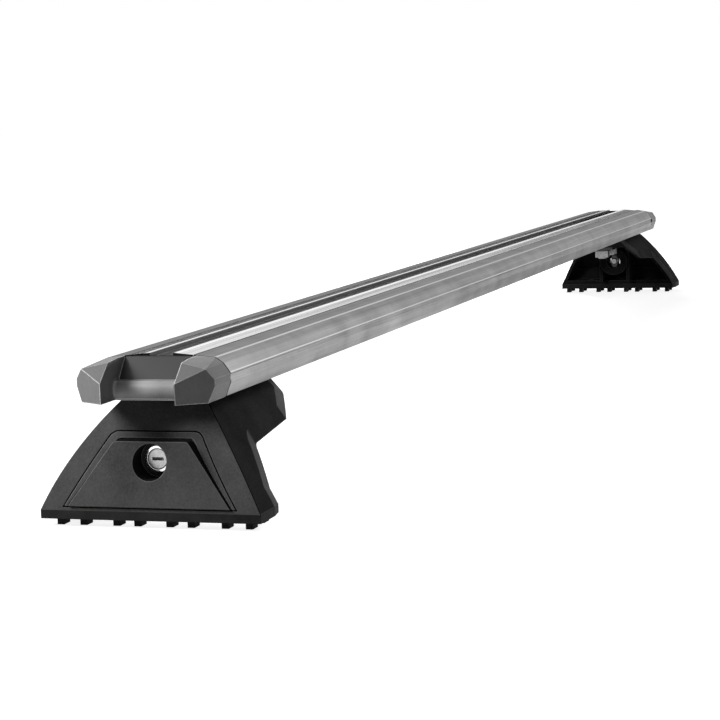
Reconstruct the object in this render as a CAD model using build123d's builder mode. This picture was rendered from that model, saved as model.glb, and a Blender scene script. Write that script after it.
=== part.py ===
from build123d import *
import os

os.makedirs("parts", exist_ok=True)

# Roof rack crossbar in millimetres: X along the bar, Y across it, Z up from the floor, right end at +X

# Bar section, half widths from the middle and heights from the underside
bar_length = 1188.0
bar_height = 22.2
bar_bottom_half = 34.4
bar_widest_half = 37.6
bar_shoulder_half = 33.9
bar_corner_half = 29.7
groove_low = 8.4
groove_high = 11.4
groove_depth = 0.9
shoulder_height = 17.1
corner_height = 20.0
bar_edge_radius = 0.7
bar_wall = 2.2
score_half = 17.6
score_width = 0.8
score_depth = 0.5

# T-slot along the top, which takes the load carriers, and the slot below, which takes the clamp bolts
slot_half = 6.65
channel_half = 16.6
channel_floor = 10.7
lip_thickness = 2.6
foot_slot_half = 4.6
foot_channel_half = 8.75
foot_flange = 2.5
foot_channel_height = 6.0

# End cap
cap_length = 32.0
cap_sweep = 10.4
notch_half = 20.0
facet_height = 10.5
facet_run = 11.0
lobe_drop = 1.0
seam_width = 0.4
seam_depth = 0.6
scoop_run = 12.5
scoop_drop = 1.3
nose_radius = 4.9
nose_lift = 4.9
nose_under = 55.0
nose_over = 120.0
nose_round = 1.8
spigot_length = 24.0
spigot_clearance = 0.3

# Leg, heights from the underside of its base pad
rib_height = 4.0
pad_thickness = 4.5
leg_reach = 25.6
leg_height = 59.5
leg_mid_height = 32.5
foot_half = 60.0
leg_mid_half = 43.7
saddle_half = 21.8
lean_mid = 9.3
lean_top = 27.7
foot_depth = 30.5
heel_height = 12.5
throat_depth = 45.0
throat_height = 32.5
flare_depth = 100.0
flare_height = 36.8
saddle_depth = 121.0
saddle_drop = 11.0
throat_radius = 5.0
rim_width = 10.0
rim_bevel = 1.8
side_wall = 5.0
front_wall = 7.0
roof_thickness = 10.0
floor_thickness = 4.0
ledge_height = 20.0
ledge_depth = 14.0
stay_thickness = 3.0
stay_depth = 42.0
saddle_clearance = 0.3

# Base pad ribs and the holes for the roof bolts
rib_width = 3.8
rib_length = 7.0
rib_places = (8.8, 20.4, 38.8, 51.7)
front_rib_setback = 5.5
rear_rib_setback = 21.5
roof_bolt_place = 29.6
roof_bolt_depth = 20.5
roof_bolt_radius = 3.3

# Lock cover let into the front of the leg
cover_thickness = 3.0
cover_gap = 0.7
cover_bottom = 6.0
cover_top = 43.7
cover_bottom_half = 47.9
cover_top_half = 24.2
cover_corner = 6.5
panel_top = 39.4
panel_bottom_half = 44.3
panel_top_half = 20.2
panel_corner = 3.0
panel_foot_proud = 1.2
panel_head_proud = 6.8
panel_edge = 0.5
panel_groove_width = 0.7
panel_groove_depth = 0.9
peg_place = 30.0
peg_height = 13.0
peg_radius = 2.5
peg_depth = 8.5

# Lock
lock_height = 29.2
lock_hole_radius = 9.3
lock_face_depth = 14.5
lock_seat_depth = 15.5
barrel_radius = 7.4
barrel_length = 20.0
barrel_rim = 0.6
barrel_back_wall = 2.8
plug_radius = 5.4
plug_recess = 0.4
plug_rim = 0.4
plug_tail_radius = 2.6
keyway_width = 6.2
keyway_height = 1.5
keyway_depth = 6.0
collar_wall = 3.6
boss_wall = 2.6
boss_end_wall = 3.0
boss_depth = 45.0
tongue_length = 12.6
tongue_width = 6.0
tongue_thickness = 2.6
tongue_screw_radius = 3.1
tongue_screw_height = 1.8
tongue_screw_shank = 1.2
tongue_screw_length = 5.0
running_clearance = 0.1
seat_clearance = 0.05
gap_clearance = 0.3

# Clamp that holds the leg under the bar
clamp_places = (56.0, 101.0)
bolt_radius = 4.0
bolt_head_length = 13.0
bolt_head_height = 5.0
bolt_hole_radius = 4.5
bolt_tip = 1.2
head_clearance = 0.2
clamp_plate_length = 66.0
clamp_plate_width = 26.0
clamp_plate_thickness = 3.0
washer_radius = 8.0
washer_thickness = 1.6
nut_flats = 13.0
nut_height = 6.5

# Margin for picking edges and corners by their place
pick_margin = 1.0

# Places that follow from the sizes above
bar_end = bar_length / 2
leg_x = bar_end + leg_reach
pad_z = rib_height
leg_bottom = pad_z + pad_thickness
leg_mid = pad_z + leg_mid_height
leg_top = pad_z + leg_height
bar_z = leg_top + saddle_clearance
roof_under = leg_top - roof_thickness
lock_z = pad_z + lock_height
collar_radius = barrel_radius + collar_wall
boss_bore_radius = collar_radius + gap_clearance
boss_radius = boss_bore_radius + boss_wall
barrel_end = lock_face_depth + barrel_length
collar_end = barrel_end
boss_wall_start = collar_end + gap_clearance
tongue_start = boss_wall_start + boss_end_wall + gap_clearance
tongue_end = tongue_start + tongue_thickness
channel_top = bar_height - lip_thickness
groove_floor = bar_widest_half - groove_depth
side_low = bar_z + groove_low - groove_depth / 2
side_high = bar_z + groove_high + groove_depth / 2
top_slope = (bar_height - corner_height) / (bar_corner_half - slot_half)
plug_face = lock_face_depth + plug_recess
plug_end = barrel_end - barrel_back_wall
plug_length = plug_end - running_clearance - plug_face
bolt_head_z = bar_z + foot_flange + head_clearance
washer_top = roof_under - clamp_plate_thickness
nut_bottom = washer_top - washer_thickness - nut_height
panel_bottom = cover_bottom + cover_gap


def top_surface(half):
    """Height of the bar's sloping top at a distance from its middle."""
    return bar_z + bar_height - (half - slot_half) * top_slope


def half_outline(groove_points):
    """Half of the outer section, from the underside's middle up to the top's middle."""
    return [
        (0, bar_z),
        (bar_bottom_half, bar_z),
        (bar_widest_half, side_low),
        *groove_points,
        (bar_widest_half, side_high),
        (bar_shoulder_half, bar_z + shoulder_height),
        (bar_corner_half, bar_z + corner_height),
        (slot_half, bar_z + bar_height),
        (0, bar_z + bar_height),
    ]


def chamber_outline():
    """Hollow on one side of the bar, between the channels and the outer walls."""
    inner = channel_half + bar_wall
    low_inner = foot_channel_half + bar_wall
    return [
        (low_inner, bar_z + foot_flange),
        (bar_bottom_half - bar_wall, bar_z + foot_flange),
        (bar_widest_half - bar_wall - groove_depth, bar_z + groove_low),
        (bar_widest_half - bar_wall - groove_depth, bar_z + groove_high),
        (bar_shoulder_half - bar_wall, bar_z + shoulder_height - bar_wall / 2),
        (bar_corner_half - bar_wall / 2, bar_z + corner_height - bar_wall),
        (inner, bar_z + corner_height - bar_wall),
        (inner, bar_z + channel_floor - bar_wall),
        (low_inner, bar_z + channel_floor - bar_wall),
    ]


def leg_width_points(inset):
    """Foot, middle and saddle of the leg's slanted side in the front view, moved in by inset."""
    return [
        (foot_half - inset, leg_bottom),
        (leg_mid_half - inset, leg_mid),
        (saddle_half - inset, leg_top),
    ]


def leg_lean_points(depth):
    """Foot, middle and top of the leg's leaning front in the side view, moved in by depth."""
    return [
        (leg_x - depth, leg_bottom),
        (leg_x - lean_mid - depth, leg_mid),
        (leg_x - lean_top - depth, leg_top),
    ]


def lean_depth(height):
    """Depth of the leaning front behind its foot, at a height above the base pad's underside."""
    rise = (height - pad_thickness) / (leg_height - pad_thickness)
    middle = (leg_mid_height - pad_thickness) / (leg_height - pad_thickness)
    bow = (lean_top * middle - lean_mid) / (middle * (1 - middle))
    return lean_top * rise - bow * rise * (1 - rise)


def is_rim_edge(edge):
    """Edges of the leg's flank that border its open back, away from its front, top and bottom."""
    middle = edge.center()
    behind_foot = middle.X < leg_x - foot_depth + pick_margin
    return behind_foot and leg_bottom + pick_margin < middle.Z < leg_top - pick_margin


def cover_outline():
    """Corners of the lock cover's trapezoid in the front view."""
    return [
        (cover_bottom_half, pad_z + cover_bottom),
        (cover_top_half, pad_z + cover_top),
        (-cover_top_half, pad_z + cover_top),
        (-cover_bottom_half, pad_z + cover_bottom),
    ]


def panel_corners():
    """Corners of the raised panel's trapezoid in the front view."""
    return [
        (panel_bottom_half, pad_z + panel_bottom),
        (panel_top_half, pad_z + panel_top),
        (-panel_top_half, pad_z + panel_top),
        (-panel_bottom_half, pad_z + panel_bottom),
    ]


def peg_spots():
    """Middles of the lock cover's two pegs in the front view."""
    return [(side * peg_place, pad_z + peg_height) for side in (1, -1)]


def clamp_spots():
    """Middles of the two clamp bolts in the plan view."""
    return [(leg_x - place, 0) for place in clamp_places]


def roof_bolt_spots():
    """Middles of the two roof bolt holes in the foot."""
    return [(leg_x - roof_bolt_depth, side * roof_bolt_place) for side in (1, -1)]


def export_pair(piece, name):
    """Write a piece for the right end, and the same piece turned round for the left end."""
    turned = piece.rotate(Axis.Z, 180)
    piece.label = "right_" + name
    turned.label = "left_" + name
    export_step(piece, "parts/right_" + name + ".step")
    export_step(turned, "parts/left_" + name + ".step")


# Crossbar extrusion
side_groove = [(groove_floor, side_low + groove_depth), (groove_floor, side_high - groove_depth)]
with BuildPart() as crossbar:
    with BuildSketch(Plane.YZ.offset(-bar_end)) as bar_section:
        with BuildLine():
            Polyline(*half_outline(side_groove))
            mirror(about=Plane.YZ)
        make_face()
        outer_corners = bar_section.vertices().filter_by(lambda v: abs(v.X) > slot_half + pick_margin)
        fillet(outer_corners, bar_edge_radius)
        for side in (1, -1):
            with Locations((side * score_half, top_surface(score_half))):
                Rectangle(score_width, 2 * score_depth, mode=Mode.SUBTRACT)
        with BuildLine():
            Polyline(*chamber_outline(), close=True)
        make_face(mode=Mode.SUBTRACT)
        with BuildLine():
            Polyline(*[(-y, z) for y, z in chamber_outline()], close=True)
        make_face(mode=Mode.SUBTRACT)
        with Locations((0, bar_z + channel_floor)):
            Rectangle(
                2 * channel_half,
                channel_top - channel_floor,
                align=(Align.CENTER, Align.MIN),
                mode=Mode.SUBTRACT,
            )
            Rectangle(2 * slot_half, bar_height, align=(Align.CENTER, Align.MIN), mode=Mode.SUBTRACT)
        with Locations((0, bar_z + foot_flange)):
            Rectangle(
                2 * foot_channel_half,
                foot_channel_height,
                align=(Align.CENTER, Align.MIN),
                mode=Mode.SUBTRACT,
            )
            Rectangle(2 * foot_slot_half, 3 * foot_flange, mode=Mode.SUBTRACT)
    extrude(amount=bar_length)
crossbar.part.label = "crossbar"
export_step(crossbar.part, "parts/crossbar.step")

# Scoop between the end cap's lobes: a wall down from the slot and a rounded lip in front of it
scoop_top = bar_z + bar_height - scoop_drop
nose_middle = bar_z + nose_lift
nose_x = bar_end + scoop_run
with BuildPart() as cap_scoop:
    with BuildSketch(Plane.XZ) as scoop_side:
        with BuildLine():
            nose = CenterArc((nose_x, nose_middle), nose_radius, -nose_under, nose_over + nose_under)
            wall_rise = Vector(bar_end, scoop_top) - nose @ 1
            wall = Line(nose @ 1, nose @ 1 + 2 * wall_rise)
            Polyline(
                wall @ 1,
                (bar_end + 2 * cap_length, bar_z + 2 * bar_height),
                (bar_end + 2 * cap_length, bar_z - bar_height),
                ((nose @ 0).X, bar_z - bar_height),
                nose @ 0,
            )
        make_face()
    extrude(amount=notch_half, both=True)
    scoop_ends = cap_scoop.faces().filter_by(Axis.Y)
    nose_edges = scoop_ends.edges().filter_by(GeomType.CIRCLE)
    fillet(nose_edges, nose_round)

# End cap: half of it with three swept-back facets, then its mirror half, a seam line and two spigots
cap_front = bar_end + cap_length
facet_z = bar_z + facet_height
cap_outer_x = cap_front - cap_sweep
lobe_inner = (cap_front, notch_half, facet_z)
lobe_outer = (cap_outer_x, bar_widest_half, facet_z)
lobe_shoulder_x = cap_front - cap_sweep * (bar_shoulder_half - notch_half) / (bar_widest_half - notch_half)
lobe_shoulder = (lobe_shoulder_x, bar_shoulder_half, bar_z + shoulder_height)
lobe_top = (cap_front - facet_run, notch_half, top_surface(notch_half) - lobe_drop)
seam_corner = (bar_end, bar_corner_half, bar_z + corner_height)
with BuildPart() as end_cap:
    with BuildSketch(Plane.YZ.offset(bar_end + seam_width)) as cap_section:
        with BuildLine():
            Polyline(*half_outline([]), close=True)
        make_face()
    extrude(amount=cap_length - seam_width)
    sweep_along = Vector(*lobe_outer) - Vector(*lobe_inner)
    lower_facet = Plane(lobe_inner, x_dir=sweep_along, z_dir=sweep_along.cross(Vector(0, 0, 1)))
    split(bisect_by=lower_facet, keep=Keep.BOTTOM)
    slant = Vector(*lobe_shoulder) - Vector(*lobe_inner)
    rise = Vector(*lobe_top) - Vector(*lobe_inner)
    upper_facet = Plane(lobe_inner, x_dir=slant, z_dir=slant.cross(rise))
    split(bisect_by=upper_facet, keep=Keep.BOTTOM)
    crown_along = Vector(*lobe_shoulder) - Vector(*lobe_top)
    crown_back = Vector(*seam_corner) - Vector(*lobe_top)
    crown_facet = Plane(lobe_top, x_dir=crown_along, z_dir=crown_along.cross(crown_back))
    split(bisect_by=crown_facet, keep=Keep.BOTTOM)
    mirror(about=Plane.XZ)
    with BuildSketch(Plane.YZ.offset(bar_end)) as seam_section:
        with BuildLine():
            Polyline(*half_outline([]))
            mirror(about=Plane.YZ)
        make_face()
        offset(amount=-seam_depth, kind=Kind.INTERSECTION, mode=Mode.REPLACE)
    extrude(amount=seam_width)
    add(cap_scoop.part, mode=Mode.SUBTRACT)
    with BuildSketch(Plane.YZ.offset(bar_end)) as spigot_section:
        with BuildLine():
            Polyline(*chamber_outline(), close=True)
        make_face()
        with BuildLine():
            Polyline(*[(-y, z) for y, z in chamber_outline()], close=True)
        make_face()
        offset(amount=-spigot_clearance, kind=Kind.INTERSECTION, mode=Mode.REPLACE)
    extrude(amount=-spigot_length)
export_pair(end_cap.part, "end_cap")

# Hollow of the leg: open at the back, with a step low down on its front wall
with BuildPart() as leg_cavity:
    back_x = leg_x - 2 * saddle_depth
    inner_lean = leg_lean_points(front_wall)
    with BuildSketch(Plane.XZ) as cavity_side:
        with BuildLine():
            lean_line = ThreePointArc(*inner_lean)
            Polyline(lean_line @ 1, (back_x, leg_top), (back_x, leg_bottom), lean_line @ 0)
        make_face()
        with Locations((leg_x, roof_under)):
            Rectangle(8 * saddle_depth, roof_thickness, align=(Align.CENTER, Align.MIN), mode=Mode.SUBTRACT)
        with Locations((leg_x, leg_bottom)):
            Rectangle(8 * saddle_depth, floor_thickness, align=(Align.CENTER, Align.MIN), mode=Mode.SUBTRACT)
            Rectangle(
                2 * ledge_depth,
                ledge_height - pad_thickness,
                align=(Align.CENTER, Align.MIN),
                mode=Mode.SUBTRACT,
            )
    extrude(amount=foot_half, both=True)
    with BuildSketch(Plane.YZ.offset(back_x)) as cavity_front:
        with BuildLine():
            side_line = ThreePointArc(*leg_width_points(side_wall))
            Polyline(side_line @ 1, (0, leg_top), (0, leg_bottom), side_line @ 0)
            mirror(about=Plane.YZ)
        make_face()
    extrude(amount=4 * saddle_depth, mode=Mode.INTERSECT)

# Bore of the leg's lock boss and the two stays beside it, cut to the hollow
with BuildPart() as lock_boss:
    with BuildSketch(Plane.YZ.offset(leg_x - boss_depth)):
        with Locations((0, lock_z)):
            Circle(boss_radius)
    extrude(amount=boss_depth)
    with BuildSketch(Plane.YZ.offset(leg_x - stay_depth)):
        with Locations((boss_radius, lock_z), (-boss_radius, lock_z)):
            Rectangle(stay_thickness, 2 * leg_height)
    extrude(amount=stay_depth)
    add(leg_cavity.part, mode=Mode.INTERSECT)

# Recess in the leg's front that the lock cover sits in
with BuildPart() as cover_recess:
    with BuildSketch(Plane.YZ.offset(leg_x - saddle_depth)) as recess_outline:
        with BuildLine():
            Polyline(*cover_outline(), close=True)
        make_face()
        fillet(recess_outline.vertices().group_by(Axis.Y)[-1], cover_corner)
    extrude(amount=2 * saddle_depth)
    with BuildSketch(Plane.XZ) as recess_side:
        with BuildLine():
            recess_floor = ThreePointArc(*leg_lean_points(cover_thickness))
            Polyline(
                recess_floor @ 1,
                (leg_x + foot_depth, leg_top),
                (leg_x + foot_depth, leg_bottom),
                recess_floor @ 0,
            )
        make_face()
    extrude(amount=foot_half, both=True, mode=Mode.INTERSECT)

# Leg body: half of the side view crossed with the front view, bevelled, mirrored, then hollowed
with BuildPart() as leg_body:
    with BuildSketch(Plane.XZ) as leg_side:
        with BuildLine():
            front_line = ThreePointArc(*leg_lean_points(0))
            Polyline(
                front_line @ 1,
                (leg_x - saddle_depth, leg_top),
                (leg_x - saddle_depth, leg_top - saddle_drop),
                (leg_x - flare_depth, pad_z + flare_height),
                (leg_x - throat_depth, pad_z + throat_height),
                (leg_x - foot_depth, pad_z + heel_height),
                (leg_x - foot_depth, leg_bottom),
                front_line @ 0,
            )
        make_face()
        throat_corner = leg_side.vertices().sort_by_distance((leg_x - throat_depth, pad_z + throat_height))[0]
        fillet(throat_corner, throat_radius)
    extrude(amount=-foot_half)
    with BuildSketch(Plane.YZ.offset(leg_x - 2 * saddle_depth)) as leg_front:
        with BuildLine():
            slant_line = ThreePointArc(*leg_width_points(0))
            Polyline(slant_line @ 1, (0, leg_top), (0, leg_bottom), slant_line @ 0)
        make_face()
    extrude(amount=4 * saddle_depth, mode=Mode.INTERSECT)
    flank = leg_body.faces().filter_by(GeomType.CYLINDER).sort_by(Axis.Y)[-1]
    chamfer(flank.edges().filter_by(is_rim_edge), rim_width, rim_bevel, reference=flank)
    mirror(about=Plane.XZ)
    add(leg_cavity.part, mode=Mode.SUBTRACT)
    add(lock_boss.part)
    add(cover_recess.part, mode=Mode.SUBTRACT)
    with BuildSketch(Plane.YZ.offset(leg_x - boss_wall_start)):
        with Locations((0, lock_z)):
            Circle(boss_bore_radius)
    extrude(amount=boss_depth, mode=Mode.SUBTRACT)
    with BuildSketch(Plane.YZ.offset(leg_x - boss_depth)):
        with Locations((0, lock_z)):
            SlotOverall(tongue_length + 2 * gap_clearance, tongue_width + 2 * gap_clearance)
    extrude(amount=boss_depth, mode=Mode.SUBTRACT)
    with BuildSketch(Plane.YZ.offset(leg_x - boss_depth)):
        with Locations((0, lock_z)):
            Circle(tongue_length / 2 + 2 * gap_clearance)
    extrude(amount=boss_depth - boss_wall_start - boss_end_wall, mode=Mode.SUBTRACT)
    with BuildSketch(Plane.YZ.offset(leg_x - peg_depth - gap_clearance)):
        with Locations(*peg_spots()):
            Circle(peg_radius + gap_clearance)
    extrude(amount=2 * peg_depth, mode=Mode.SUBTRACT)
    with BuildSketch(Plane.XY.offset(leg_top)):
        with Locations(*clamp_spots()):
            Circle(bolt_hole_radius)
    extrude(amount=-roof_thickness, mode=Mode.SUBTRACT)
    with BuildSketch(Plane.XY.offset(leg_bottom)):
        with Locations(*roof_bolt_spots()):
            Circle(roof_bolt_radius)
    extrude(amount=floor_thickness, mode=Mode.SUBTRACT)
export_pair(leg_body.part, "leg_body")

# Rubber base pad: a strip under the foot with two rows of ribs in pairs
rib_rows = (leg_x - front_rib_setback, leg_x - rear_rib_setback)
rib_spots = [(row, side * place) for row in rib_rows for place in rib_places for side in (1, -1)]
foot_back = leg_x - foot_depth
with BuildPart() as base_pad:
    with BuildSketch(Plane.XY.offset(pad_z)) as pad_outline:
        with BuildLine():
            Polyline(
                (leg_x, foot_half),
                (foot_back + rim_width, foot_half),
                (foot_back, foot_half - rim_bevel),
                (foot_back, rim_bevel - foot_half),
                (foot_back + rim_width, -foot_half),
                (leg_x, -foot_half),
                close=True,
            )
        make_face()
        with Locations(*roof_bolt_spots()):
            Circle(roof_bolt_radius, mode=Mode.SUBTRACT)
    extrude(amount=pad_thickness)
    with BuildSketch(Plane.XY):
        with Locations(*rib_spots):
            Rectangle(rib_length, rib_width, align=(Align.MAX, Align.CENTER))
    extrude(amount=rib_height)
export_pair(base_pad.part, "base_pad")

# Groove round the raised panel, cut into the lock cover's front
with BuildPart() as panel_groove:
    with BuildSketch(Plane.YZ.offset(leg_x - saddle_depth)) as groove_outline:
        with BuildLine():
            Polyline(*panel_corners(), close=True)
        make_face()
        fillet(groove_outline.vertices().group_by(Axis.Y)[-1], panel_corner)
        offset(amount=panel_groove_width, kind=Kind.INTERSECTION, mode=Mode.REPLACE)
    extrude(amount=2 * saddle_depth)
    with BuildSketch(Plane.XZ) as groove_side:
        with BuildLine():
            panel_groove_floor = ThreePointArc(*leg_lean_points(panel_groove_depth))
            Polyline(
                panel_groove_floor @ 1,
                (leg_x + foot_depth, leg_top),
                (leg_x + foot_depth, leg_bottom),
                panel_groove_floor @ 0,
            )
        make_face()
    extrude(amount=foot_half, both=True, mode=Mode.INTERSECT)

# Raised wedge panel on the lock cover, level with the cover's lower edge and proudest at its top
panel_foot_x = leg_x - lean_depth(panel_bottom) + panel_foot_proud
panel_head_x = leg_x - lean_depth(panel_top) + panel_head_proud
with BuildPart() as cover_panel:
    with BuildSketch(Plane.YZ.offset(leg_x - saddle_depth)) as panel_outline:
        with BuildLine():
            Polyline(*panel_corners(), close=True)
        make_face()
        fillet(panel_outline.vertices().group_by(Axis.Y)[-1], panel_corner)
    extrude(amount=2 * saddle_depth)
    with BuildSketch(Plane.XZ) as panel_side:
        with BuildLine():
            panel_back = ThreePointArc(*leg_lean_points(cover_thickness / 2))
            Polyline(
                panel_back @ 1,
                (panel_head_x, leg_top),
                (panel_head_x, pad_z + panel_top),
                (panel_foot_x, pad_z + panel_bottom),
                (panel_foot_x, leg_bottom),
                panel_back @ 0,
            )
        make_face()
    extrude(amount=foot_half, both=True, mode=Mode.INTERSECT)
    panel_face = cover_panel.faces().filter_by(GeomType.PLANE).sort_by(Axis.X)[-1]
    chamfer(panel_face.edges(), panel_edge)

# Collar behind the lock cover that holds the lock barrel, and two pegs that locate the cover
with BuildPart() as lock_collar:
    with BuildSketch(Plane.YZ.offset(leg_x - collar_end)):
        with Locations((0, lock_z)):
            Circle(collar_radius)
    extrude(amount=collar_end)
    with BuildSketch(Plane.YZ.offset(leg_x - peg_depth)):
        with Locations(*peg_spots()):
            Circle(peg_radius)
    extrude(amount=peg_depth)
    with BuildSketch(Plane.XZ) as collar_side:
        with BuildLine():
            collar_front = ThreePointArc(*leg_lean_points(cover_thickness / 2))
            Polyline(
                collar_front @ 1,
                (leg_x - saddle_depth, leg_top),
                (leg_x - saddle_depth, leg_bottom),
                collar_front @ 0,
            )
        make_face()
    extrude(amount=foot_half, both=True, mode=Mode.INTERSECT)

# Lock cover: plate flush with the leaning front, with its panel, collar, pegs and lock hole
with BuildPart() as lock_cover:
    with BuildSketch(Plane.YZ.offset(leg_x - saddle_depth)) as cover_face:
        with BuildLine():
            Polyline(*cover_outline(), close=True)
        make_face()
        fillet(cover_face.vertices().group_by(Axis.Y)[-1], cover_corner)
        offset(amount=-cover_gap, mode=Mode.REPLACE)
    extrude(amount=2 * saddle_depth)
    with BuildSketch(Plane.XZ) as cover_side:
        with BuildLine():
            cover_front = ThreePointArc(*leg_lean_points(0))
            cover_back = ThreePointArc(*leg_lean_points(cover_thickness - seat_clearance))
            Line(cover_front @ 0, cover_back @ 0)
            Line(cover_front @ 1, cover_back @ 1)
        make_face()
    extrude(amount=foot_half, both=True, mode=Mode.INTERSECT)
    add(panel_groove.part, mode=Mode.SUBTRACT)
    add(cover_panel.part)
    add(lock_collar.part)
    with BuildSketch(Plane.YZ.offset(leg_x - lock_seat_depth)):
        with Locations((0, lock_z)):
            Circle(lock_hole_radius)
    extrude(amount=lock_seat_depth, mode=Mode.SUBTRACT)
    with BuildSketch(Plane.YZ.offset(leg_x - collar_end)):
        with Locations((0, lock_z)):
            Circle(barrel_radius + seat_clearance)
    extrude(amount=collar_end, mode=Mode.SUBTRACT)
export_pair(lock_cover.part, "lock_cover")

# Lock barrel: chromed sleeve with a back wall
with BuildPart() as lock_barrel:
    with BuildSketch(Plane.YZ.offset(leg_x - barrel_end)):
        with Locations((0, lock_z)):
            Circle(barrel_radius)
    extrude(amount=barrel_length)
    chamfer(lock_barrel.faces().sort_by(Axis.X)[-1].edges(), barrel_rim)
    with BuildSketch(Plane.YZ.offset(leg_x - plug_end)):
        with Locations((0, lock_z)):
            Circle(plug_radius + running_clearance)
    extrude(amount=plug_end, mode=Mode.SUBTRACT)
    with BuildSketch(Plane.YZ.offset(leg_x - barrel_end)):
        with Locations((0, lock_z)):
            Circle(plug_tail_radius + running_clearance)
    extrude(amount=barrel_length, mode=Mode.SUBTRACT)
export_pair(lock_barrel.part, "lock_barrel")

# Lock plug: the core that turns with the key, with its keyway and tail
with BuildPart() as lock_plug:
    with BuildSketch(Plane.YZ.offset(leg_x - plug_end + running_clearance)):
        with Locations((0, lock_z)):
            Circle(plug_radius)
    extrude(amount=plug_length)
    chamfer(lock_plug.faces().sort_by(Axis.X)[-1].edges(), plug_rim)
    with BuildSketch(Plane.YZ.offset(leg_x - tongue_start)):
        with Locations((0, lock_z)):
            Circle(plug_tail_radius)
    extrude(amount=tongue_start - plug_end + running_clearance)
    with BuildSketch(Plane.YZ.offset(leg_x - plug_face)):
        with Locations((0, lock_z)):
            Rectangle(keyway_width, keyway_height)
    extrude(amount=-keyway_depth, mode=Mode.SUBTRACT)
    with BuildSketch(Plane.YZ.offset(leg_x - tongue_start)):
        with Locations((0, lock_z)):
            Circle(tongue_screw_shank + seat_clearance)
    extrude(amount=tongue_screw_length, mode=Mode.SUBTRACT)
export_pair(lock_plug.part, "lock_plug")

# Lock tongue: plate on the plug's tail that turns behind the slot in the boss
with BuildPart() as lock_tongue:
    with BuildSketch(Plane.YZ.offset(leg_x - tongue_end)):
        with Locations((0, lock_z)):
            SlotOverall(tongue_length, tongue_width, rotation=90)
            Circle(tongue_screw_shank + seat_clearance, mode=Mode.SUBTRACT)
    extrude(amount=tongue_thickness)
export_pair(lock_tongue.part, "lock_tongue")

# Screw that holds the tongue
with BuildPart() as tongue_screw:
    with BuildSketch(Plane.YZ.offset(leg_x - tongue_end)):
        with Locations((0, lock_z)):
            Circle(tongue_screw_radius)
    extrude(amount=-tongue_screw_height)
    chamfer(tongue_screw.faces().sort_by(Axis.X)[0].edges(), tongue_screw_height / 3)
    with BuildSketch(Plane.YZ.offset(leg_x - tongue_end)):
        with Locations((0, lock_z)):
            Circle(tongue_screw_shank)
    extrude(amount=tongue_screw_length)
export_pair(tongue_screw.part, "tongue_screw")

# Clamp bolts: T heads in the slot under the bar, shanks through the leg's roof
with BuildPart() as clamp_bolts:
    with BuildSketch(Plane.XY.offset(bolt_head_z)):
        with Locations(*clamp_spots()):
            Rectangle(bolt_head_length, 2 * (foot_channel_half - gap_clearance))
    extrude(amount=bolt_head_height)
    with BuildSketch(Plane.XY.offset(bolt_head_z)):
        with Locations(*clamp_spots()):
            Circle(bolt_radius)
    extrude(amount=nut_bottom - bolt_tip - bolt_head_z)
export_pair(clamp_bolts.part, "clamp_bolts")

# Clamp plate: steel strip under the leg's roof that spreads the load of the nuts
with BuildPart() as clamp_plate:
    with BuildSketch(Plane.XY.offset(roof_under)) as plate_outline:
        with Locations((leg_x - (clamp_places[0] + clamp_places[1]) / 2, 0)):
            Rectangle(clamp_plate_length, clamp_plate_width)
        fillet(plate_outline.vertices(), clamp_plate_thickness)
        with Locations(*clamp_spots()):
            Circle(bolt_hole_radius, mode=Mode.SUBTRACT)
    extrude(amount=-clamp_plate_thickness)
export_pair(clamp_plate.part, "clamp_plate")

# Clamp washers
with BuildPart() as clamp_washers:
    with BuildSketch(Plane.XY.offset(washer_top)):
        with Locations(*clamp_spots()):
            Circle(washer_radius)
            Circle(bolt_hole_radius, mode=Mode.SUBTRACT)
    extrude(amount=-washer_thickness)
export_pair(clamp_washers.part, "clamp_washers")

# Clamp nuts
with BuildPart() as clamp_nuts:
    with BuildSketch(Plane.XY.offset(nut_bottom)):
        with Locations(*clamp_spots()):
            RegularPolygon(nut_flats / 2, 6, major_radius=False)
            Circle(bolt_radius + seat_clearance, mode=Mode.SUBTRACT)
    extrude(amount=nut_height)
export_pair(clamp_nuts.part, "clamp_nuts")
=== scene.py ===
"""Looks of the roof rack crossbar: finishes, near-black beads of painted shade along the legs' creases,
floor, lamps and camera around its solids.
"""
import math
import bmesh
import bpy
from mathutils import Matrix, Vector


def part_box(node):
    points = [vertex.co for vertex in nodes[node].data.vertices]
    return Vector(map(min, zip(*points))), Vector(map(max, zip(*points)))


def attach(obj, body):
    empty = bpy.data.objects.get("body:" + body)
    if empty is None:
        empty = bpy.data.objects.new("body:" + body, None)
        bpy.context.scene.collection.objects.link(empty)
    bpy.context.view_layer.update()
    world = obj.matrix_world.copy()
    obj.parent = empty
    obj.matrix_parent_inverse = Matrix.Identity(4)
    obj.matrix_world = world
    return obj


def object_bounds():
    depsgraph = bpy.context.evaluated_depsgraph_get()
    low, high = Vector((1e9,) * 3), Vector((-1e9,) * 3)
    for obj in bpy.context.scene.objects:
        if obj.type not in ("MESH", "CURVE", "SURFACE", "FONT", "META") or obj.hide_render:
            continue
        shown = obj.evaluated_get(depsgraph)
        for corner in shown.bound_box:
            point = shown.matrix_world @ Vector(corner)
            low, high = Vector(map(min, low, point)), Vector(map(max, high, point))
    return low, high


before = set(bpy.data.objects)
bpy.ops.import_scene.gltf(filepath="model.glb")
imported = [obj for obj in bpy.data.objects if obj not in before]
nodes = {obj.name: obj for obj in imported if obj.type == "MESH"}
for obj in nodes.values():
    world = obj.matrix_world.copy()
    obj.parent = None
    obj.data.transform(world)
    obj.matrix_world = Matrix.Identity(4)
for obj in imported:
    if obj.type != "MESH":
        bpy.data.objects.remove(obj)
cad_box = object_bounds()
ends = {"right": 1, "left": -1}
bar_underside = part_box("crossbar")[0].z
bar_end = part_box("crossbar")[1].x

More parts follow.
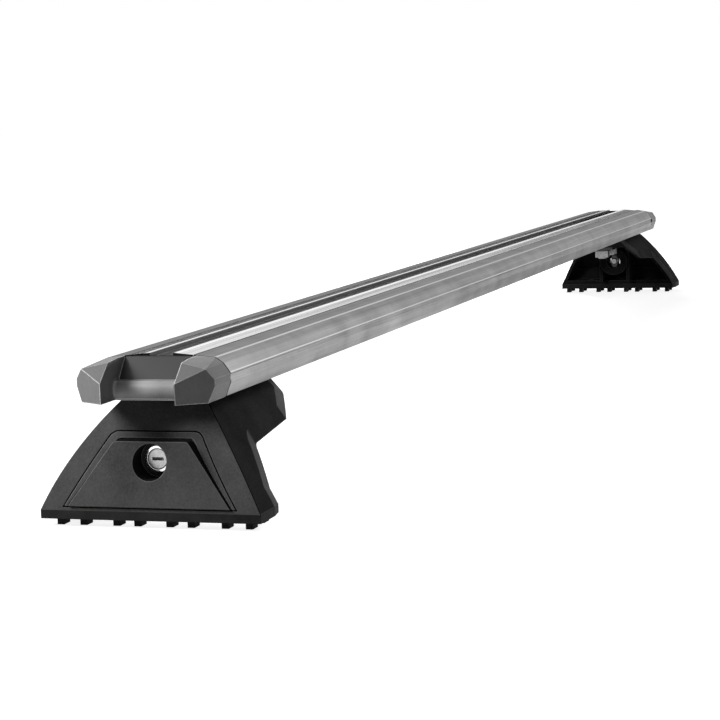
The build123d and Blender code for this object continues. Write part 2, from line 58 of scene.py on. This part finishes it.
# Camera, from the photograph's viewing angle
view_azimuth = math.radians(108.33)
view_elevation = math.radians(7.05)
view_roll = math.radians(-2.28)
view_place = Vector((1.5695, 0.4296, 0.2095))
view_lens = 105.0
view_sensor = 36.0
view_reach = 100.0

# Even light from all round
sky_level = 0.08

# Floor: its shade as a source of light and as it is seen, and its glow by distance from the nearer foot
floor_size = 30.0
floor_shade = 0.4
seen_floor_shade = 0.5
floor_glow = (0.86, 1.0)
glow_reach = (0.12, 0.60)
foot_away = 0.55

# Rounding that the shading adds to edges, and how far from an edge the metal and the plastic are lightened,
# partly as wear and partly as a painted highlight
moulded_edge = 0.0005
metal_edge = 0.0003
wear_and_highlight_edge = 0.0006
rub_and_highlight_edge = 0.0009
wear_and_highlight_bend = (0.94, 0.998)
rub_and_highlight_bend = (0.86, 0.98)
bevel_samples = 6

# Near-black bead up the leg's flanks, beside the front: painted shade for the gap there
shade_bead_half = 0.00045
shade_bead_rise = 0.00012
front_facing = 0.5
flank_facing = 0.5
weld_distance = 0.000001

# Bands on the drawn bar, each a distance from its middle or a height above its underside, and a half width
# Painted highlight along the edges of the slot's lips
lip_edge_highlight = (0.0083, 0.0013)
# Painted highlight: the band over the slot's lips is lighter and its gloss tint raised
lip_highlight_band = (0.0137, 0.0037)
# A thin dark line along the top, 18 mm from the middle
thin_dark_line = (0.0180, 0.0004)
# Painted highlight along the top corners
corner_highlight = (0.0293, 0.0006)
# Painted highlight: a thin bright line along the side groove
groove_highlight = (0.0124, 0.0001)
# Painted shadow of the gap between the bar and its caps
seam_line = (bar_end, 0.0005)
band_soft = 0.0003

# Drawn bar: stretch and scale of its lines, its shades, the tint of its gloss and its roughness
line_stretch = (0.004, 1, 1)
line_scale = 2600
streak_stretch = (0.01, 1, 1)
streak_scale = 210
bar_cloud_scale = 34
bar_shades = (0.27, 0.60)
# Shades of the painted highlight on the lips
lip_highlight_shades = (0.35, 0.85)
# Level of edges lightened partly as wear and partly as painted highlight, and of the painted highlights on
# the lip edges and top corners
bright_shade = 0.95
thin_dark_shade = 0.10
# Level of the painted highlight along the side groove
groove_highlight_shade = 0.85
seam_painted_shadow = 0.01
bar_tint = 0.37
# Gloss tint over the lips, raised as a painted highlight
lip_highlight_tint = 0.85
bar_rough = (0.40, 0.26)
lip_rough = (0.22, 0.14)

# Mouldings: scale of their clouds and specks, and how far roughness strays
cloud_scale = 28
speck_scale = 900
rough_stray = 0.08

# Way a leg's faces look, from -1 straight in to 1 straight out, at its front and at its back bevel, where
# they are painted paler as painted light
front_look = (0.4, 0.6)
bevel_start = (-0.50, -0.40)
bevel_end = (-0.09, -0.04)

# Painted shade in the recess between a cap's lobes, a painted highlight on the lip under it, and a painted
# shadow along its seam with the bar
recess_half = 0.0194
lip_top = 0.0096
recess_painted_shade = 0.018
nose_highlight_shade = 0.45
cap_seam_painted_shadow = 0.005

# Dark card that the bar's far side mirrors
card_place = (-2.6, -1.15)
card_width = 2.0
card_height = 0.45
card_shade = 0.02


def start_material(name):
    """A new material with its node tree and its shader."""
    material = bpy.data.materials.new(name)
    material.use_nodes = True
    tree = material.node_tree
    shader = tree.nodes["Principled BSDF"]
    return material, tree, shader


def set_shader(shader, metallic, specular):
    """Values that are the same all over a surface."""
    shader.inputs["Metallic"].default_value = metallic
    shader.inputs["Specular IOR Level"].default_value = specular


def surface_place(tree, stretch=(1, 1, 1), middle=(0, 0, 0)):
    """Coordinates fixed to the piece, in metres, moved to a middle and stretched along the axes."""
    coordinates = tree.nodes.new("ShaderNodeTexCoord")
    mapping = tree.nodes.new("ShaderNodeMapping")
    mapping.inputs["Location"].default_value = [-m * s for m, s in zip(middle, stretch)]
    mapping.inputs["Scale"].default_value = stretch
    tree.links.new(coordinates.outputs["Object"], mapping.inputs["Vector"])
    return mapping.outputs["Vector"]


def grain(tree, place, scale, detail, roughness=0.55):
    """Noise with so many features in a metre."""
    noise = tree.nodes.new("ShaderNodeTexNoise")
    noise.inputs["Scale"].default_value = scale
    noise.inputs["Detail"].default_value = detail
    noise.inputs["Roughness"].default_value = roughness
    tree.links.new(place, noise.inputs["Vector"])
    return noise.outputs["Fac"]


def spread(tree, value, low, high, start=0.3, end=0.7):
    """The value's usual span, from start to end, mapped to low and high."""
    node = tree.nodes.new("ShaderNodeMapRange")
    node.inputs["From Min"].default_value = start
    node.inputs["From Max"].default_value = end
    node.inputs["To Min"].default_value = low
    node.inputs["To Max"].default_value = high
    tree.links.new(value, node.inputs["Value"])
    return node.outputs["Result"]


def average(tree, first, second, share):
    """Share of the second value mixed into the first."""
    node = tree.nodes.new("ShaderNodeMix")
    node.inputs["Factor"].default_value = share
    tree.links.new(first, node.inputs["A"])
    tree.links.new(second, node.inputs["B"])
    return node.outputs["Result"]


def choose(tree, mask, outside, inside, kind="FLOAT"):
    """One value or colour where the mask is 0 and another where it is 1."""
    node = tree.nodes.new("ShaderNodeMix")
    node.data_type = kind
    tree.links.new(mask, node.inputs["Factor"])
    tree.links.new(outside, node.inputs["A"])
    tree.links.new(inside, node.inputs["B"])
    return node.outputs["Result"]


def mark(tree, value, mask, level):
    """The value, with a fixed level where the mask is 1."""
    node = tree.nodes.new("ShaderNodeMix")
    node.inputs["B"].default_value = level
    tree.links.new(mask, node.inputs["Factor"])
    tree.links.new(value, node.inputs["A"])
    return node.outputs["Result"]


def shades(tree, value, dark, light):
    """A colour between two, by a value from 0 to 1."""
    node = tree.nodes.new("ShaderNodeMix")
    node.data_type = "RGBA"
    node.inputs["A"].default_value = (*dark, 1)
    node.inputs["B"].default_value = (*light, 1)
    tree.links.new(value, node.inputs["Factor"])
    return node.outputs["Result"]


def rounded(tree, radius):
    """The surface's direction, with its edges rounded by a radius."""
    bevel = tree.nodes.new("ShaderNodeBevel")
    bevel.samples = bevel_samples
    bevel.inputs["Radius"].default_value = radius
    return bevel.outputs["Normal"]


def relief(tree, shader, height, strength, depth, edge):
    """Bump of a depth in metres, over edges that are rounded by a radius."""
    bump = tree.nodes.new("ShaderNodeBump")
    bump.inputs["Strength"].default_value = strength
    bump.inputs["Distance"].default_value = depth
    tree.links.new(height, bump.inputs["Height"])
    tree.links.new(rounded(tree, edge), bump.inputs["Normal"])
    tree.links.new(bump.outputs["Normal"], shader.inputs["Normal"])


def edge_mask(tree, radius, bend):
    """1 within a radius of sharp edges, 0 on blunt ones and on open ground, by how far the surface bends."""
    geometry = tree.nodes.new("ShaderNodeNewGeometry")
    likeness = tree.nodes.new("ShaderNodeVectorMath")
    likeness.operation = "DOT_PRODUCT"
    tree.links.new(rounded(tree, radius), likeness.inputs[0])
    tree.links.new(geometry.outputs["True Normal"], likeness.inputs[1])
    return spread(tree, likeness.outputs["Value"], 1, 0, *bend)


def recolour(tree, colour, mask, other):
    """The colour, with another one where the mask is 1."""
    node = tree.nodes.new("ShaderNodeMix")
    node.data_type = "RGBA"
    node.inputs["B"].default_value = (*other, 1)
    tree.links.new(mask, node.inputs["Factor"])
    tree.links.new(colour, node.inputs["A"])
    return node.outputs["Result"]


def run_band(tree, axis, start, band):
    """1 in a band given by its middle and half width along an axis, on both sides of a start."""
    split = tree.nodes.new("ShaderNodeSeparateXYZ")
    tree.links.new(surface_place(tree), split.inputs["Vector"])
    away = split.outputs[axis]
    for shift in (start, band[0]):
        step = tree.nodes.new("ShaderNodeMath")
        step.operation = "SUBTRACT"
        step.inputs[1].default_value = shift
        size = tree.nodes.new("ShaderNodeMath")
        size.operation = "ABSOLUTE"
        tree.links.new(away, step.inputs[0])
        tree.links.new(step.outputs[0], size.inputs[0])
        away = size.outputs[0]
    return spread(tree, away, 1, 0, band[1], band[1] + band_soft)


def outward_look(tree):
    """How much a face looks outward from the bar's middle, along the bar: 1 straight out, -1 straight in."""
    coordinates = tree.nodes.new("ShaderNodeTexCoord")
    place = tree.nodes.new("ShaderNodeSeparateXYZ")
    normal = tree.nodes.new("ShaderNodeSeparateXYZ")
    half = tree.nodes.new("ShaderNodeMath")
    half.operation = "SIGN"
    outward = tree.nodes.new("ShaderNodeMath")
    outward.operation = "MULTIPLY"
    tree.links.new(coordinates.outputs["Object"], place.inputs["Vector"])
    tree.links.new(coordinates.outputs["Normal"], normal.inputs["Vector"])
    tree.links.new(place.outputs["X"], half.inputs[0])
    tree.links.new(half.outputs[0], outward.inputs[0])
    tree.links.new(normal.outputs["X"], outward.inputs[1])
    return outward.outputs[0]


def above(tree, height):
    """1 above a height over the bar's underside and 0 under it."""
    split = tree.nodes.new("ShaderNodeSeparateXYZ")
    tree.links.new(surface_place(tree), split.inputs["Vector"])
    start = bar_underside + height
    return spread(tree, split.outputs["Z"], 0, 1, start, start + band_soft)


def both(tree, first, second, without=False):
    """1 where both masks are 1, or, without the second, where only the first one is."""
    if without:
        second = spread(tree, second, 1, 0, 0, 1)
    node = tree.nodes.new("ShaderNodeMath")
    node.operation = "MULTIPLY"
    tree.links.new(first, node.inputs[0])
    tree.links.new(second, node.inputs[1])
    return node.outputs[0]


def grey(level, warmth=0.0):
    """A neutral grey, a little warm or cool."""
    return (level * (1 + warmth), level, level * (1 - warmth))


def anodised_aluminium():
    """Drawn and anodised: fine lines along the bar, faint clouding, sharp edges lightened as wear and
    painted highlight, painted highlights on the lips, their edges, the top corners and along the side
    groove, a thin dark line, and a painted shadow at the ends.
    """
    material, tree, shader = start_material("anodised_aluminium")
    set_shader(shader, metallic=1.0, specular=0.5)
    lines = grain(tree, surface_place(tree, line_stretch), line_scale, detail=2.0)
    bands = grain(tree, surface_place(tree, streak_stretch), streak_scale, detail=2.0)
    clouds = grain(tree, surface_place(tree), bar_cloud_scale, detail=4.0)
    drawn = average(tree, lines, bands, share=0.5)
    mixed = average(tree, drawn, clouds, share=0.35)
    # Streaked lighter shades over the slot's lips: a painted highlight
    streaks = spread(tree, bands, *lip_highlight_shades, start=0.38, end=0.58)
    lips = run_band(tree, "Y", 0, lip_highlight_band)
    edges = run_band(tree, "Y", 0, lip_edge_highlight)
    level = spread(tree, mixed, *bar_shades, start=0.35, end=0.65)
    # Sharp edges lightened, partly as wear and partly as a painted highlight
    level = mark(tree, level, edge_mask(tree, wear_and_highlight_edge, wear_and_highlight_bend), bright_shade)
    # Painted highlight over the lips
    level = choose(tree, lips, level, streaks)
    # Painted highlight along the lip edges
    level = mark(tree, level, edges, bright_shade)
    level = mark(tree, level, run_band(tree, "Y", 0, thin_dark_line), thin_dark_shade)
    # Painted highlight along the top corners
    level = mark(tree, level, run_band(tree, "Y", 0, corner_highlight), bright_shade)
    # Painted highlight along the side groove
    level = mark(tree, level, run_band(tree, "Z", bar_underside, groove_highlight), groove_highlight_shade)
    # Painted shadow at the bar's ends, where it meets the caps
    level = mark(tree, level, run_band(tree, "X", 0, seam_line), seam_painted_shadow)
    tree.links.new(level, shader.inputs["Base Color"])
    # Gloss tint raised over the lips, and at full over their edges: painted highlight
    tint = mark(tree, spread(tree, lips, bar_tint, lip_highlight_tint, 0, 1), edges, bright_shade)
    tree.links.new(tint, shader.inputs["Specular Tint"])
    dull = spread(tree, mixed, *bar_rough)
    polished = spread(tree, mixed, *lip_rough)
    tree.links.new(choose(tree, lips, dull, polished), shader.inputs["Roughness"])
    relief(tree, shader, lines, strength=0.12, depth=0.00006, edge=metal_edge)
    return material


def moulded_plastic(
    name, dark, light, rough, specular, texture_scale, texture_depth, edge=None, painted_light_shades=None, cap=False
):
    """Moulded plastic: fine spark-eroded texture, slow shade changes, sharp edges lightened as wear and
    painted highlight, front faces and back bevel paler as painted light; a cap also gets painted shade in
    its recess, a painted highlight on its lip and a painted shadow along its seam.
    """
    material, tree, shader = start_material(name)
    set_shader(shader, metallic=0.0, specular=specular)
    texture = grain(tree, surface_place(tree), texture_scale, detail=2.0)
    clouds = grain(tree, surface_place(tree), cloud_scale, detail=5.0, roughness=0.6)
    specks = grain(tree, surface_place(tree), speck_scale, detail=1.0)
    mixed = average(tree, clouds, specks, share=0.3)
    shade = spread(tree, mixed, 0, 1)
    colour = shades(tree, shade, dark, light)
    # Front faces and the back bevel paler: painted light
    if painted_light_shades:
        pale = shades(tree, shade, *painted_light_shades)
        look = outward_look(tree)
        back_bevel = both(tree, spread(tree, look, 0, 1, *bevel_start), spread(tree, look, 1, 0, *bevel_end))
        colour = choose(tree, back_bevel, colour, pale, "RGBA")
        colour = choose(tree, spread(tree, look, 0, 1, *front_look), colour, pale, "RGBA")
    if cap:
        # Painted shade in the recess between the lobes, and a streaked painted highlight on the lip under it
        middle = run_band(tree, "Y", 0, (0, recess_half))
        high = above(tree, lip_top)
        nose_highlight = both(tree, spread(tree, clouds, 0.3, 1), both(tree, middle, high, without=True))
        colour = recolour(tree, colour, both(tree, middle, high), grey(recess_painted_shade))
        colour = recolour(tree, colour, nose_highlight, grey(nose_highlight_shade))
    # Sharp edges lightened, partly as wear and partly as a painted highlight
    if edge:
        colour = recolour(tree, colour, edge_mask(tree, rub_and_highlight_edge, rub_and_highlight_bend), edge)
    if cap:
        # Painted shadow along the cap's seam with the bar
        colour = recolour(tree, colour, run_band(tree, "X", 0, seam_line), grey(cap_seam_painted_shadow))
    tree.links.new(colour, shader.inputs["Base Color"])
    tree.links.new(spread(tree, mixed, rough + rough_stray, rough - rough_stray), shader.inputs["Roughness"])
    relief(tree, shader, texture, strength=0.25, depth=texture_depth, edge=moulded_edge)
    return material


def pad_rubber():
    """Matt rubber with a dusty bloom."""
    material, tree, shader = start_material("pad_rubber")
    set_shader(shader, metallic=0.0, specular=0.12)
    texture = grain(tree, surface_place(tree), scale=1400, detail=4.0, roughness=0.7)
    bloom = grain(tree, surface_place(tree), scale=60, detail=4.0)
    colour = shades(tree, spread(tree, bloom, 0, 1), grey(0.011), grey(0.032, 0.01))
    tree.links.new(colour, shader.inputs["Base Color"])
    tree.links.new(spread(tree, texture, 0.7, 0.9), shader.inputs["Roughness"])
    relief(tree, shader, texture, strength=0.35, depth=0.00012, edge=moulded_edge)
    return material


def lock_chrome():
    """Polished chrome with faint polishing marks."""
    material, tree, shader = start_material("lock_chrome")
    set_shader(shader, metallic=1.0, specular=0.5)
    marks = grain(tree, surface_place(tree, (1, 1, 0.2)), scale=1800, detail=2.0)
    colour = shades(tree, spread(tree, marks, 0, 1), grey(0.74), grey(0.84))
    tree.links.new(colour, shader.inputs["Base Color"])
    tree.links.new(spread(tree, marks, 0.06, 0.16), shader.inputs["Roughness"])
    relief(tree, shader, marks, strength=0.05, depth=0.00002, edge=metal_edge)
    return material


def turned_steel(name, middle):
    """Steel face turned about the lock's axis: rings round the middle."""
    material, tree, shader = start_material(name)
    set_shader(shader, metallic=1.0, specular=0.5)
    rings = tree.nodes.new("ShaderNodeTexWave")
    rings.wave_type = "RINGS"
    rings.rings_direction = "X"
    rings.inputs["Scale"].default_value = 900
    rings.inputs["Distortion"].default_value = 0.6
    rings.inputs["Detail"].default_value = 2.0
    tree.links.new(surface_place(tree, middle=middle), rings.inputs["Vector"])
    clouds = grain(tree, surface_place(tree), scale=700, detail=3.0)
    mixed = average(tree, rings.outputs["Fac"], clouds, share=0.5)
    colour = shades(tree, spread(tree, mixed, 0, 1), grey(0.30), grey(0.50))
    tree.links.new(colour, shader.inputs["Base Color"])
    tree.links.new(spread(tree, mixed, 0.38, 0.22), shader.inputs["Roughness"])
    relief(tree, shader, rings.outputs["Fac"], strength=0.12, depth=0.00002, edge=metal_edge)
    return material


def zinc_steel(name, dark, light):
    """Zinc plate: crystalline patches and a slight haze."""
    material, tree, shader = start_material(name)
    set_shader(shader, metallic=1.0, specular=0.5)
    patches = tree.nodes.new("ShaderNodeTexVoronoi")
    patches.inputs["Scale"].default_value = 600
    tree.links.new(surface_place(tree), patches.inputs["Vector"])
    haze = grain(tree, surface_place(tree), scale=240, detail=4.0)
    mixed = average(tree, patches.outputs["Distance"], haze, share=0.5)
    colour = shades(tree, spread(tree, mixed, 0, 1), dark, light)
    tree.links.new(colour, shader.inputs["Base Color"])
    tree.links.new(spread(tree, mixed, 0.30, 0.46), shader.inputs["Roughness"])
    relief(tree, shader, haze, strength=0.1, depth=0.00003, edge=metal_edge)
    return material


def paint(node, material):
    """Give a CAD node's slots a material."""
    slots = nodes[node].material_slots
    if not slots:
        nodes[node].data.materials.append(material)
    for slot in slots:
        slot.material = material


def paint_all():
    """Finish of every CAD node."""
    # Paler shades for the legs' front faces and back bevels: painted light
    painted_light_shades = (grey(0.048), grey(0.116))
    leg_plastic = moulded_plastic(
        "leg_plastic", dark=grey(0.014), light=grey(0.034), rough=0.60, specular=0.004,
        texture_scale=1500, texture_depth=0.00010, edge=grey(0.11), painted_light_shades=painted_light_shades,
    )
    cover_plastic = moulded_plastic(
        "cover_plastic", dark=grey(0.006), light=grey(0.012), rough=0.56, specular=0.015,
        texture_scale=1500, texture_depth=0.00008, edge=grey(0.22), painted_light_shades=painted_light_shades,
    )
    cap_plastic = moulded_plastic(
        "cap_plastic", dark=grey(0.12, -0.004), light=grey(0.18, -0.004), rough=0.42, specular=0.30,
        texture_scale=1900, texture_depth=0.00005, edge=grey(0.95), cap=True,
    )
    rubber = pad_rubber()
    chrome = lock_chrome()
    zinc = zinc_steel("zinc_steel", dark=grey(0.18, 0.01), light=grey(0.34))
    black_zinc = zinc_steel("black_zinc", dark=grey(0.035), light=grey(0.07))
    paint("crossbar", anodised_aluminium())
    for end in ends:
        low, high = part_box(end + "_lock_plug")
        middle = (low + high) / 2
        finishes = {
            "end_cap": cap_plastic,
            "leg_body": leg_plastic,
            "lock_cover": cover_plastic,
            "base_pad": rubber,
            "lock_barrel": chrome,
            "lock_plug": turned_steel(end + "_lock_steel", middle),
            "lock_tongue": black_zinc,
            "tongue_screw": zinc,
            "clamp_bolts": zinc,
            "clamp_plate": black_zinc,
            "clamp_washers": black_zinc,
            "clamp_nuts": zinc,
        }
        for piece, material in finishes.items():
            paint(end + "_" + piece, material)


def crease_run(grid, outward, side):
    """Points up the crease between a leg's front and one of its flanks, from the foot up."""
    steps = {}
    for edge in grid.edges:
        front = max([face.normal.x * outward for face in edge.link_faces], default=0)
        flank = max([face.normal.y * side for face in edge.link_faces], default=0)
        if front > front_facing and flank > flank_facing:
            low, high = edge.verts
            steps.setdefault(low, []).append(high)
            steps.setdefault(high, []).append(low)
    run = [max(steps, key=lambda corner: corner.co.y * side)]
    ahead = steps[run[-1]]
    while ahead:
        run.append(ahead[0])
        ahead = [corner for corner in steps[run[-1]] if corner not in run]
    return [corner.co.copy() for corner in run]


def in_box(point):
    """The point, brought inside the part's own box."""
    low, high = cad_box
    return Vector([min(max(p, a), b) for p, a, b in zip(point, low, high)])


def shade_beads(end, outward, material):
    """Thin near-black bead up the flanks of a leg: painted shade that reads as the gap between its front and
    its flanks.
    """
    grid = bmesh.new()
    grid.from_mesh(nodes[end + "_leg_body"].data)
    bmesh.ops.remove_doubles(grid, verts=grid.verts, dist=weld_distance)
    grid.normal_update()
    corners = []
    faces = []
    ring = [(0, 0), (-shade_bead_half, shade_bead_rise), (-2 * shade_bead_half, 0), (-shade_bead_half, -shade_bead_rise)]
    around = len(ring)
    for side in (1, -1):
        run = crease_run(grid, outward, side)
        first = len(corners)
        for point in run:
            corners += [in_box(point + Vector((x * outward, y, 0))) for x, y in ring]
        for step in range(len(run) - 1):
            base = first + around * step
            for k in range(around):
                ahead = (k + 1) % around
                faces.append((base + k, base + ahead, base + around + ahead, base + around + k))
        last = len(corners) - around
        faces.append([first + k for k in reversed(range(around))])
        faces.append([last + k for k in range(around)])
    grid.free()
    mesh = bpy.data.meshes.new(end + "_shade_beads")
    mesh.from_pydata(corners, [], faces)
    mesh.materials.append(material)
    lines = bpy.data.objects.new(end + "_shade_beads", mesh)
    bpy.context.scene.collection.objects.link(lines)
    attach(lines, end + "_leg")


def seen_white(tree, plain, white, output):
    """Plain shader for lighting, white shader where the camera, a gloss or a see-through ray meets it."""
    path = tree.nodes.new("ShaderNodeLightPath")
    either = tree.nodes.new("ShaderNodeMath")
    either.operation = "MAXIMUM"
    any_ray = tree.nodes.new("ShaderNodeMath")
    any_ray.operation = "MAXIMUM"
    mix = tree.nodes.new("ShaderNodeMixShader")
    tree.links.new(path.outputs["Is Camera Ray"], either.inputs[0])
    tree.links.new(path.outputs["Is Glossy Ray"], either.inputs[1])
    tree.links.new(either.outputs[0], any_ray.inputs[0])
    tree.links.new(path.outputs["Is Transmission Ray"], any_ray.inputs[1])
    tree.links.new(any_ray.outputs[0], mix.inputs["Fac"])
    tree.links.new(plain, mix.inputs[1])
    tree.links.new(white, mix.inputs[2])
    tree.links.new(mix.outputs["Shader"], output.inputs["Surface"])


def make_floor():
    """Pale floor that keeps the shadow and reads as white where it is open."""
    half = floor_size / 2
    mesh = bpy.data.meshes.new("floor")
    corners = [(-half, -half, 0), (half, -half, 0), (half, half, 0), (-half, half, 0)]
    mesh.from_pydata(corners, [], [(0, 1, 2, 3)])
    floor = bpy.data.objects.new("floor", mesh)
    bpy.context.scene.collection.objects.link(floor)
    material = bpy.data.materials.new("floor")
    material.use_nodes = True
    tree = material.node_tree
    tree.nodes.clear()
    output = tree.nodes.new("ShaderNodeOutputMaterial")
    plain = tree.nodes.new("ShaderNodeBsdfDiffuse")
    plain.inputs["Color"].default_value = (*grey(floor_shade), 1)
    shaded = tree.nodes.new("ShaderNodeBsdfDiffuse")
    shaded.inputs["Color"].default_value = (*grey(seen_floor_shade), 1)
    split = tree.nodes.new("ShaderNodeSeparateXYZ")
    size = tree.nodes.new("ShaderNodeMath")
    size.operation = "ABSOLUTE"
    past_foot = tree.nodes.new("ShaderNodeMath")
    past_foot.operation = "SUBTRACT"
    past_foot.inputs[1].default_value = foot_away
    from_foot = tree.nodes.new("ShaderNodeCombineXYZ")
    distance = tree.nodes.new("ShaderNodeVectorMath")
    distance.operation = "LENGTH"
    tree.links.new(surface_place(tree), split.inputs["Vector"])
    tree.links.new(split.outputs["X"], size.inputs[0])
    tree.links.new(size.outputs[0], past_foot.inputs[0])
    tree.links.new(past_foot.outputs[0], from_foot.inputs["X"])
    tree.links.new(split.outputs["Y"], from_foot.inputs["Y"])
    tree.links.new(from_foot.outputs["Vector"], distance.inputs[0])
    level = spread(tree, distance.outputs["Value"], *floor_glow, *glow_reach)
    glow = tree.nodes.new("ShaderNodeEmission")
    tree.links.new(level, glow.inputs["Strength"])
    total = tree.nodes.new("ShaderNodeAddShader")
    tree.links.new(shaded.outputs["BSDF"], total.inputs[0])
    tree.links.new(glow.outputs["Emission"], total.inputs[1])
    seen_white(tree, plain.outputs["BSDF"], total.outputs["Shader"], output)
    mesh.materials.append(material)


def make_card():
    """Upright dark card beyond the far end, for the bar to mirror."""
    toward = Vector((*card_place, 0)).normalized()
    along = Vector((-toward.y, toward.x, 0)) * card_width / 2
    rise = Vector((0, 0, card_height))
    foot = Vector((*card_place, 0))
    corners = [foot - along, foot + along, foot + along + rise, foot - along + rise]
    mesh = bpy.data.meshes.new("card")
    mesh.from_pydata(corners, [], [(0, 1, 2, 3)])
    card = bpy.data.objects.new("card", mesh)
    bpy.context.scene.collection.objects.link(card)
    material, tree, shader = start_material("card")
    set_shader(shader, metallic=0.0, specular=0.0)
    shader.inputs["Base Color"].default_value = (*grey(card_shade), 1)
    mesh.materials.append(material)
    card.visible_camera = False
    card.visible_shadow = False


def make_sky():
    """Even light from all round, white to the camera."""
    world = bpy.data.worlds.new("sky")
    bpy.context.scene.world = world
    world.use_nodes = True
    tree = world.node_tree
    tree.nodes.clear()
    output = tree.nodes.new("ShaderNodeOutputWorld")
    plain = tree.nodes.new("ShaderNodeBackground")
    plain.inputs["Color"].default_value = (1, 1, 1, 1)
    plain.inputs["Strength"].default_value = sky_level
    white = tree.nodes.new("ShaderNodeBackground")
    white.inputs["Color"].default_value = (1, 1, 1, 1)
    seen_white(tree, plain.outputs["Background"], white.outputs["Background"], output)


def make_lamp(name, place, target, size, level, cone=math.pi, mirrored=True):
    """Soft square lamp that lights a facing surface at the target to a level, where 1 is plain white."""
    lamp = bpy.data.lights.new(name, "AREA")
    lamp.shape = "SQUARE"
    lamp.size = size
    lamp.spread = cone
    away = Vector(place) - Vector(target)
    lamp.energy = level * math.pi * math.pi * away.length_squared
    lamp_object = bpy.data.objects.new(name, lamp)
    lamp_object.location = place
    lamp_object.rotation_euler = away.to_track_quat("Z", "Y").to_euler()
    lamp_object.visible_camera = False
    lamp_object.visible_glossy = mirrored
    bpy.context.scene.collection.objects.link(lamp_object)


def make_camera():
    """Camera at the photograph's place and tilt."""
    camera = bpy.data.cameras.new("camera")
    camera.lens = view_lens
    camera.sensor_width = view_sensor
    camera.clip_end = view_reach
    back = Vector((
        math.sin(view_azimuth) * math.cos(view_elevation),
        -math.cos(view_azimuth) * math.cos(view_elevation),
        math.sin(view_elevation),
    ))
    level_right = Vector((math.cos(view_azimuth), math.sin(view_azimuth), 0))
    level_up = back.cross(level_right)
    right = math.cos(view_roll) * level_right + math.sin(view_roll) * level_up
    up = back.cross(right)
    camera_object = bpy.data.objects.new("camera", camera)
    turn = Matrix((right, up, back)).transposed().to_4x4()
    camera_object.matrix_world = Matrix.Translation(view_place) @ turn
    bpy.context.scene.collection.objects.link(camera_object)
    bpy.context.scene.camera = camera_object


paint_all()
# Near-black material for the beads: painted shade of the gap between a leg's front and flanks
painted_gap_shade = moulded_plastic(
    "painted_gap_shade", dark=grey(0.001), light=grey(0.002), rough=0.8, specular=0.0,
    texture_scale=1500, texture_depth=0.00005,
)
for end, outward in ends.items():
    shade_beads(end, outward, painted_gap_shade)
make_floor()
make_sky()
make_card()
make_lamp("key", place=(0.82, -0.52, 0.52), target=(0.60, -0.02, 0.05), size=0.3, level=1.46)
make_lamp("back", place=(-1.60, 1.90, 1.50), target=(-0.30, 0.0, 0.05), size=1.2, level=0.10)
make_lamp(
    "rim", place=(-0.28, 0.17, 0.20), target=(0.56, 0.05, 0.045), size=0.1, level=0.16,
    cone=math.radians(60), mirrored=False,
)
make_lamp("far", place=(-1.05, -0.32, 0.42), target=(-0.60, 0.0, 0.05), size=0.3, level=1.2, mirrored=False)
make_camera()
bpy.context.scene.view_settings.view_transform = "Standard"
